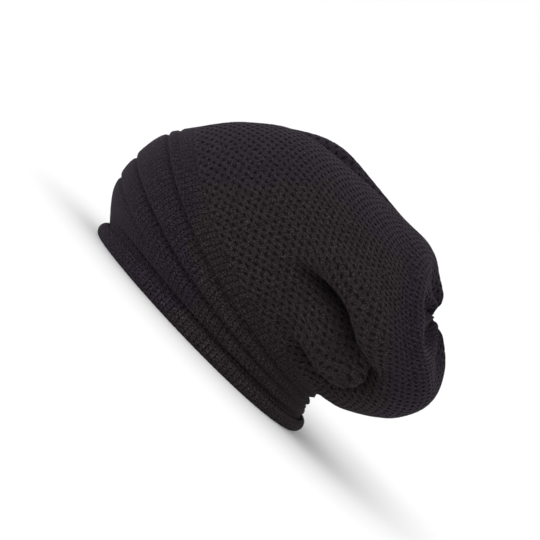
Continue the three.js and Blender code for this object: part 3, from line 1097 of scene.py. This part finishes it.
@dataclass
class KnitCrown:
    """The openwork crown: one layer of knit from the band to the gathered end.

    Args:
        form: The hat's form.
        room: The workroom.
        near: Facets round the near half.
        far: Facets round the far half.
        rows: Rows of facets.
        hole_depth: How far the holes are pressed in, in millimetres.
        set_in: Where the holes set in, in millimetres from the change of stitch.
        outside: The smooth outer layer, kept for the fuzz.
    """

    form: HatForm
    room: Workroom
    near: int = 340
    far: int = 204
    rows: int = 164
    hole_depth: float = 0.8
    set_in: tuple[float, float] = (2.0, 6.0)
    outside: np.ndarray | None = None

    def relief(self, columns: np.ndarray, lengths: np.ndarray, widths: np.ndarray) -> np.ndarray:
        """Depth of the openwork's holes at knit coordinates, where the columns have these widths."""
        depth = np.zeros(widths.shape)
        for share, enough in DECREASES:
            rising = np.cos(share * np.pi * columns - TURN * lengths)
            falling = np.cos(share * np.pi * columns + TURN * lengths)
            lattice = smooth_step(RISING * rising + FALLING * falling, 0.1, 0.95)
            part = smooth_step(widths, enough - COMING_IN, enough)
            depth = depth * (1 - part) + lattice * part
        return -self.hole_depth * depth

    def build(self) -> bpy.types.Object:
        """Builds the crown.

        Returns:
            The crown's closed shell.
        """
        form = self.form
        angles = round_angles(self.near, self.far)
        first = form.first_ring + HALF_GAP
        rings, along = even_rows(form.plain, angles, first, form.last_ring, self.rows + 1)
        wide = np.broadcast_to(angles[None, :], rings.shape)
        points = form.crown(rings, wide)
        lengths = along / OPEN_GAUGE.row
        columns = share_round(form.plain(rings, wide)) * OPEN_GAUGE.columns + LEAN * lengths
        normals = grid_normals(points)
        fade = smooth_step(along, *self.set_in)
        widths = column_widths(points, columns)
        pressed = self.relief(columns, lengths, widths) * fade
        self.outside = points
        outer = self.room.round_grid("knit_crown", points + normals * pressed[..., None], columns, lengths)
        coarse = np.s_[::4, ::4]
        inner_rings = rings[coarse]
        inner_wide = wide[coarse]
        inner = form.crown(inner_rings, inner_wide) - form.normal(inner_rings, inner_wide) * form.knit
        lining = self.room.round_grid(
            "crown_inside", inner[::-1], columns[coarse][::-1], lengths[coarse][::-1]
        )
        return self.room.walled(outer, lining)


@dataclass
class KnitBand:
    """The plain tucked band between the rolled hem and the crown.

    Args:
        form: The hat's form.
        room: The workroom.
        near: Facets round the near half.
        far: Facets round the far half.
        rows: Rows of facets.
        thickness: The band's wall halfway up, in millimetres.
        outside: The outer layer, kept for the fuzz.
    """

    form: HatForm
    room: Workroom
    near: int = 320
    far: int = 180
    rows: int = 150
    thickness: float = 4.6
    outside: np.ndarray | None = None

    def build(self) -> bpy.types.Object:
        """Builds the band.

        Returns:
            The band's closed shell.
        """
        form = self.form
        angles = round_angles(self.near, self.far)
        rings, along = even_rows(form.plain, angles, 0.0, form.first_ring - HALF_GAP, self.rows + 1)
        wide = np.broadcast_to(angles[None, :], rings.shape)
        points = form.band(rings, wide)
        columns = wide / TURN * PLAIN_GAUGE.columns
        lengths = along / PLAIN_GAUGE.row
        self.outside = points
        outer = self.room.round_grid("knit_band", points, columns, lengths)
        coarse = np.s_[::5, ::4]
        inner_rings = rings[coarse]
        inner_wide = wide[coarse]
        share = np.linspace(0, 1, inner_rings.shape[0])[:, None]
        wall = form.knit + (self.thickness - form.knit) * np.sqrt(np.sin(np.pi * np.clip(share, 0, 1)))
        inner = form.plain(inner_rings, inner_wide) - form.normal(inner_rings, inner_wide) * wall[..., None]
        lining = self.room.round_grid(
            "band_inside", inner[::-1], columns[coarse][::-1], lengths[coarse][::-1]
        )
        return self.room.walled(outer, lining)


@dataclass
class RolledHem:
    """The rolled edge: plain knit that curls out and up, pressed flat where it rests.

    Args:
        form: The hat's form.
        room: The workroom.
        columns: Facets round the hat.
        knit: Thickness of the knit in the roll, in millimetres.
        inset: From the band's outside edge in to the middle of the roll.
        start: Angle in degrees at which the roll starts, at its inner top.
        turn: How far it curls round, in degrees.
        steps: Facets along the curl.
        tip_points: Points round the edge of the knit where the curl ends, with both ends.
        press: How far the foot is pressed in, as an angle in degrees from straight down.
        lowest: Height at which the pressed foot rests, in millimetres.
        taller: How much taller the roll is at the temples than at its ends, as a share.
        forward: How much more so ahead of the temples, and less behind them.
        scallop: How far each stitch stands out of the roll, in millimetres.
        outside: The outer layer, kept for the fuzz.
    """

    form: HatForm
    room: Workroom
    columns: int = 420
    knit: float = 2.6
    inset: float = 0.4
    start: float = 130.0
    turn: float = 285.0
    steps: int = 40
    tip_points: int = 9
    press: float = 20.0
    lowest: float = 0.02
    taller: float = 0.38
    forward: float = 1.5
    scallop: float = 0.3
    outside: np.ndarray | None = None

    def build(self) -> bpy.types.Object:
        """Builds the hem.

        Returns:
            The hem's closed roll.
        """
        form = self.form
        angles = np.linspace(0, 2 * np.pi, self.columns + 1)
        foot = form.hem_radius * math.cos(math.radians(self.press))
        outward = form.normal(np.zeros(angles.shape), angles)
        outward[:, 2] = 0.0
        outward = unit(outward)
        edge = form.plain(np.zeros(angles.shape), angles)
        shares = np.linspace(0, 1, self.steps + 1)
        turns = np.radians(self.start + self.turn * shares)
        end = np.linspace(0, np.pi, self.tip_points)[1:-1]
        outer = [(form.hem_radius, turn) for turn in turns]
        half = self.knit / 2
        middle = form.hem_radius - half
        tip = [(middle + half * math.cos(a), turns[-1] + half * math.sin(a) / middle) for a in end]
        inner = [(form.hem_radius - self.knit, turn) for turn in turns[::-1]]
        section = [*outer, *tip, *inner, outer[0]]
        round_count = angles / TURN * PLAIN_GAUGE.columns
        bumps = self.scallop * np.cos(TURN * round_count)
        tall = 1 + self.taller * np.sin(angles) ** 2 * (1 + self.forward * np.cos(angles))
        rows = []
        for radius, turn in section:
            reach = radius + bumps * (radius >= form.hem_radius)
            point = edge + outward * (reach * math.cos(turn) - self.inset)[:, None]
            point[:, 2] = np.maximum((foot + reach * math.sin(turn)) * tall, self.lowest)
            rows.append(point)
        points = np.array(rows)
        columns = np.broadcast_to(round_count, points.shape[:2])
        steps = np.linalg.norm(np.diff(points, axis=0), axis=-1).mean(axis=1)
        along = np.concatenate(((0.0,), np.cumsum(steps))) / PLAIN_GAUGE.row
        lengths = np.broadcast_to(along[:, None], points.shape[:2])
        self.outside = points[: len(outer)]
        return self.room.round_grid("knit_hem", points, columns, lengths)


@dataclass
class DrawnEnd:
    """The drawn-together end of the knit, puckered inside the crown's last ring.

    Args:
        form: The hat's form.
        room: The workroom.
        columns: Facets round it.
        gap: Clearance to the crown, in millimetres.
        puckers: How many puckers there are.
        pucker_height: Their height, in millimetres.
        repeats: Repeats of the openwork from its back to its dimple.
    """

    form: HatForm
    room: Workroom
    columns: int = 180
    gap: float = 0.15
    puckers: int = 18
    pucker_height: float = 0.45
    repeats: float = 2.0

    def build(self) -> bpy.types.Object:
        """Builds the end.

        Returns:
            The closed, puckered end.
        """
        form = self.form
        angles = np.linspace(0, 2 * np.pi, self.columns + 1)
        ring = np.full(angles.shape, form.last_ring)
        rim = form.crown(ring, angles)
        normals = form.normal(ring, angles)
        middle = rim[:-1].mean(axis=0)
        out = unit(normals[:-1].mean(axis=0))
        spoke = rim - middle
        inset = 1 - self.gap / np.linalg.norm(spoke, axis=-1, keepdims=True)
        rows = []
        for share, rise in END_SECTION:
            pucker = self.pucker_height * share * (1 - share) * 4 * np.cos(self.puckers * angles)
            rows.append(middle + spoke * share * inset + out * (rise + pucker)[..., None])
        points = np.array(rows)
        columns = np.broadcast_to(angles / TURN * OPEN_GAUGE.columns, points.shape[:2])
        lengths = np.broadcast_to(np.linspace(0, self.repeats, len(rows))[:, None], points.shape[:2])
        return self.room.round_grid("knit_gather", points, columns, lengths)


@dataclass
class FuzzPatch:
    """Loose fibres that stand off a layer of knit.

    Args:
        name: Name of the piece.
        room: The workroom.
        count: How many fibres.
        longest: The longest fibre, in millimetres.
        shortest: The shortest one, share of the longest.
        upright: How much they point straight out, against any other way.
        thinnest: Half the thickness of the thinnest, in millimetres.
        thicker: How much more the thickest has.
        root: How deep they are rooted in the knit, in millimetres.
        lowest: Least height of their tips, in millimetres.
        seed: Seed of their places.
    """

    name: str
    room: Workroom
    count: int
    longest: float = 1.6
    shortest: float = 0.35
    upright: float = 0.75
    thinnest: float = 0.045
    thicker: float = 0.03
    root: float = 0.3
    lowest: float = 0.1
    seed: int = 7

    def build(self, outside: np.ndarray) -> bpy.types.Object:
        """Sets fibres on rows of points.

        Args:
            outside: The layer's rows of points, in millimetres.

        Returns:
            The fibres as one mesh of thin blades.
        """
        chance = np.random.default_rng(self.seed)
        normals = grid_normals(outside)
        quads = np.linalg.norm(
            np.cross(outside[1:, :-1] - outside[:-1, :-1], outside[:-1, 1:] - outside[:-1, :-1]), axis=-1
        )
        weights = (quads / quads.sum()).ravel()
        chosen = chance.choice(len(weights), size=self.count, p=weights)
        row, col = np.unravel_index(chosen, quads.shape)
        across = chance.random((2, self.count, 1))
        base = outside[row, col] * (1 - across[0]) * (1 - across[1])
        base = base + outside[row, col + 1] * across[0] * (1 - across[1])
        base = base + outside[row + 1, col] * (1 - across[0]) * across[1]
        base = base + outside[row + 1, col + 1] * across[0] * across[1]
        normal = normals[row, col]
        loose = unit(chance.normal(size=(self.count, 3)))
        heading = unit(normal * self.upright + loose)
        flat = unit(np.cross(heading, unit(chance.normal(size=(self.count, 3)))))
        length = self.longest * (self.shortest + (1 - self.shortest) * chance.random((self.count, 1)))
        width = self.thinnest + self.thicker * chance.random((self.count, 1))
        start = base - normal * self.root
        tip = start + heading * length
        tip[:, 2] = np.maximum(tip[:, 2], self.lowest)
        points = np.stack((start - flat * width, start + flat * width, tip), axis=1).reshape(-1, 3)
        blades = np.arange(3 * self.count).reshape(-1, 3)
        mesh = bpy.data.meshes.new(self.name)
        mesh.from_pydata(self.room.placed(points).tolist(), [], blades.tolist())
        made = bpy.data.objects.new(self.name, mesh)
        bpy.context.collection.objects.link(made)
        return made


@dataclass(frozen=True)
class Dressing:
    """A piece of knit with its yarn, its slot name, its fuzz and its flat size.

    Args:
        piece: The piece to build.
        yarn: Its material.
        node: The CAD node that it replaces.
        slot: Its material slot's name; not used.
        fuzz: The loose fibres on it.
        cut: What it measures laid out flat; not used.
    """

    piece: KnitCrown | KnitBand | RolledHem
    yarn: bpy.types.Material
    node: str
    slot: str
    fuzz: FuzzPatch
    cut: Cut

    def add(self, room: Workroom, fibres: bpy.types.Material, extra: list[bpy.types.Object]) -> None:
        """Args:
            room: The workroom.
            fibres: Material of the fuzz.
            extra: Other pieces; not used.
        """
        made = self.piece.build()
        room.finished(made, self.yarn, self.node)
        fluff = self.fuzz.build(self.piece.outside)
        room.finished(fluff, fibres, "")
        area = sum(face.area for face in made.data.polygons) / 2
        log.info("%s: %.4f square metres of cloth", made.name, area)


@dataclass
class Studio:
    """The pale floor, the soft lights and the camera at the photograph's angle.

    Args:
        target: What the camera looks at, in metres about the brim's middle.
        azimuth: Camera's turn round the hat, in degrees.
        elevation: Camera's angle above the horizon, in degrees.
        roll: How far the camera is turned about its own axis, in degrees.
        distance: Camera to target, in metres.
        frame_width: What the frame spans at the target, in metres.
        floor_size: Side of the floor, in metres.
        sun_power: Strength of the sun.
        sun_spread: How wide the sun is, in degrees.
        sun_from: The way to the sun.
        key_power: Power of the key light, in watts.
        key_size: Side of the key light, in metres.
        key_place: Where it hangs, in metres.
        key_aim: What it points at, in metres.
    """

    target: tuple[float, float, float] = (0.00635, 0.0053, 0.0709)
    azimuth: float = 0.0
    elevation: float = 4.6
    roll: float = 45.2
    distance: float = 2.2
    frame_width: float = 0.4023
    floor_size: float = 60.0
    sun_power: float = 1.2
    sun_spread: float = 60.0
    sun_from: tuple[float, float, float] = (-0.85, -1.0, 0.6)
    key_power: float = 4.0
    key_size: float = 1.2
    key_place: tuple[float, float, float] = (-0.9, -1.1, 0.95)
    key_aim: tuple[float, float, float] = (0.0, 0.0, 0.08)

    def lay_floor(self) -> None:
        """A pale floor that reaches far behind the hat."""
        bpy.ops.object.select_all(action="DESELECT")
        bpy.ops.mesh.primitive_plane_add(size=self.floor_size)
        floor = bpy.context.object
        floor.name = "floor"
        floor.data.materials.append(PaleFloor().dyed())

    def hang_lights(self) -> None:
        """An even white surround, a soft key from above the forehead and a soft sun for the floor."""
        world = bpy.data.worlds.new("white_room")
        world.use_nodes = True
        world.node_tree.nodes["Background"].inputs[0].default_value = (1.0, 1.0, 1.0, 1.0)
        world.node_tree.nodes["Background"].inputs[1].default_value = 1.0
        bpy.context.scene.world = world
        bpy.context.scene.view_settings.view_transform = "Standard"
        sun_data = bpy.data.lights.new("high_sun", "SUN")
        sun_data.energy = self.sun_power
        sun_data.angle = math.radians(self.sun_spread)
        sun = bpy.data.objects.new("high_sun", sun_data)
        sun.rotation_euler = Vector(self.sun_from).to_track_quat("Z", "Y").to_euler()
        bpy.context.collection.objects.link(sun)
        key_data = bpy.data.lights.new("key", "AREA")
        key_data.energy = self.key_power
        key_data.size = self.key_size
        key = bpy.data.objects.new("key", key_data)
        key.location = Vector(self.key_place)
        key.rotation_euler = (key.location - Vector(self.key_aim)).to_track_quat("Z", "Y").to_euler()
        bpy.context.collection.objects.link(key)

    def set_camera(self, middle: np.ndarray) -> None:
        """Sets the camera.

        Args:
            middle: The brim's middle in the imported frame.
        """
        a = math.radians(self.azimuth)
        e = math.radians(self.elevation)
        r = math.radians(self.roll)
        back = Vector((math.sin(a) * math.cos(e), -math.cos(a) * math.cos(e), math.sin(e)))
        right = Vector((math.cos(a), math.sin(a), 0.0))
        up = back.cross(right)
        x_axis = right * math.cos(r) + up * math.sin(r)
        y_axis = up * math.cos(r) - right * math.sin(r)
        data = bpy.data.cameras.new("camera")
        data.sensor_width = 36.0
        data.lens = 36.0 * self.distance / self.frame_width
        data.clip_start = 0.05
        data.clip_end = 100.0
        camera = bpy.data.objects.new("camera", data)
        place = Vector(self.target) + Vector(middle) + back * self.distance
        axes = Matrix((x_axis, y_axis, back)).transposed().to_4x4()
        camera.matrix_world = Matrix.Translation(place) @ axes
        bpy.context.collection.objects.link(camera)
        bpy.context.scene.camera = camera


def main() -> None:
    logging.basicConfig(level=logging.INFO)
    form = HatForm()
    room = Workroom()
    plain_knit = KnitYarn("plain_knit", PLAIN_GAUGE, relief=0.0004).dyed()
    open_knit = KnitYarn("open_knit", OPEN_GAUGE, lightness=0.96).dyed()
    # Painted light: the hem's yarn is made 1.3 times as light, to light the roll's side that faces down to
    # the floor.
    painted_light_knit = KnitYarn("painted_light_knit", PLAIN_GAUGE, relief=0.0004, lightness=1.3).dyed()
    fibres = LooseFibre().dyed()
    drawn_in = DrawnEnd(form, room).build()
    room.finished(drawn_in, open_knit, "top_gather")
    crown_fuzz = FuzzPatch("crown_fuzz", room, 60000, seed=11)
    band_fuzz = FuzzPatch("band_fuzz", room, 30000, seed=12)
    hem_fuzz = FuzzPatch("hem_fuzz", room, 8000, seed=13)
    crown = Dressing(KnitCrown(form, room), open_knit, "slouch_crown", "open_knit", crown_fuzz, CROWN_CUT)
    band = Dressing(KnitBand(form, room), plain_knit, "tucked_band", "plain_knit", band_fuzz, BAND_CUT)
    hem = Dressing(RolledHem(form, room), painted_light_knit, "rolled_hem", "plain_knit", hem_fuzz, HEM_CUT)
    crown.add(room, fibres, [drawn_in])
    band.add(room, fibres, [])
    hem.add(room, fibres, [])
    studio = Studio()
    studio.lay_floor()
    studio.hang_lights()
    studio.set_camera(room.middle)


if __name__ == "__main__":
    main()
